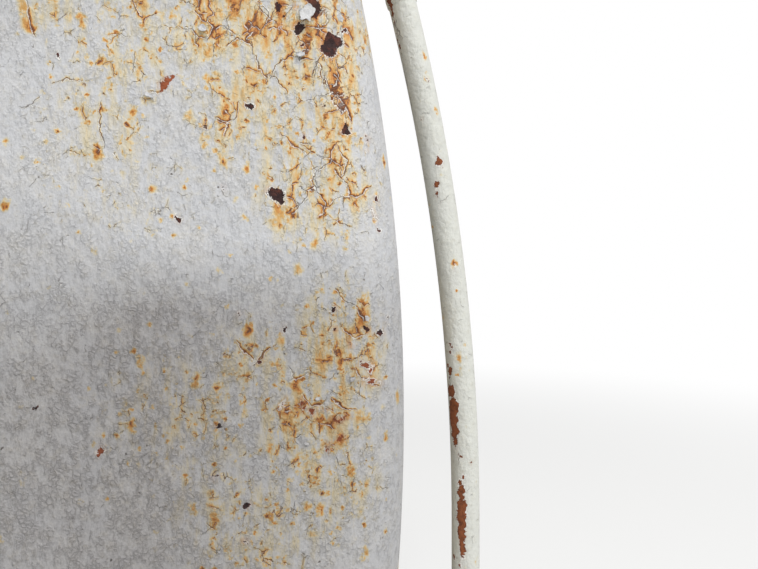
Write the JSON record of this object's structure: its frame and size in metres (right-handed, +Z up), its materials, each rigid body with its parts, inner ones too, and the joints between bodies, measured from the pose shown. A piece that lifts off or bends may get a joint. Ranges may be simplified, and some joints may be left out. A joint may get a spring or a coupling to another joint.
{
  "type": "horizontal low-pressure storage tank with flat flanged heads",
  "caption": "Horizontal welded steel tank with flat flanged heads, saddles on channel sleepers, round-bar hold-down hoops, manway, valves and sight glass.",
  "frame": {"origin": "on the ground under the middle of the tank, at the bottom centre of the whole part's box", "axes": "+Y along the tank's axis from the front head with the sight glass to the rear head, +Z up, +X to the right when the front head is seen from outside"},
  "size_m": [1.84, 3.319, 2.092],
  "materials": {
    "head_paint": "chalky white paint, cracked and flaking, rust bleeding through",
    "tank_paint": "chalky white paint with rust streaks",
    "hoop_paint": "white paint with chips and bare rust",
    "support_paint": "white paint, dirty and rusty",
    "zinc_steel": "weathered zinc-plated steel",
    "gasket_rubber": "matt black",
    "cast_cap": "weathered sand-cast aluminium",
    "bronze": "dull weathered bronze",
    "gauge_case": "black enamel",
    "valve_iron": "grey painted cast iron",
    "lever_paint": "dull red paint",
    "gauge_glass": "clear tube"
  },
  "bodies": {
    "root": {"front_head": "head_paint", "rear_head": "head_paint", "front_shell_course": "tank_paint", "rear_shell_course": "tank_paint", "girth_welds": "tank_paint", "seam_welds": "tank_paint", "front_channel": "support_paint", "rear_channel": "support_paint", "front_saddle": "support_paint", "rear_saddle": "support_paint", "front_wear_plate": "tank_paint", "rear_wear_plate": "tank_paint", "front_hoop": "hoop_paint", "rear_hoop": "hoop_paint", "front_hoop_nuts": "zinc_steel", "rear_hoop_nuts": "zinc_steel", "manway_pad": "tank_paint", "manway_neck": "tank_paint", "manway_flange": "tank_paint", "manway_gasket": "gasket_rubber", "manway_cover": "tank_paint", "manway_bolts": "zinc_steel", "manway_handles": "tank_paint", "fill_coupling": "tank_paint", "fill_cap": "cast_cap", "relief_coupling": "tank_paint", "relief_valve": "bronze", "gauge_coupling": "tank_paint", "gauge_stem": "bronze", "pressure_gauge": "gauge_case", "outlet_nozzle": "tank_paint", "outlet_valve": "valve_iron", "outlet_lever": "lever_paint", "outlet_bolts": "zinc_steel", "inlet_nozzle": "tank_paint", "inlet_valve": "valve_iron", "inlet_lever": "lever_paint", "inlet_bolts": "zinc_steel", "sight_glass_cocks": "bronze", "sight_glass_tube": "gauge_glass", "sight_glass_guards": "zinc_steel", "front_lifting_lug": "tank_paint", "rear_lifting_lug": "tank_paint", "drain_coupling": "tank_paint", "drain_plug": "zinc_steel"}
  },
  "joints": []
}
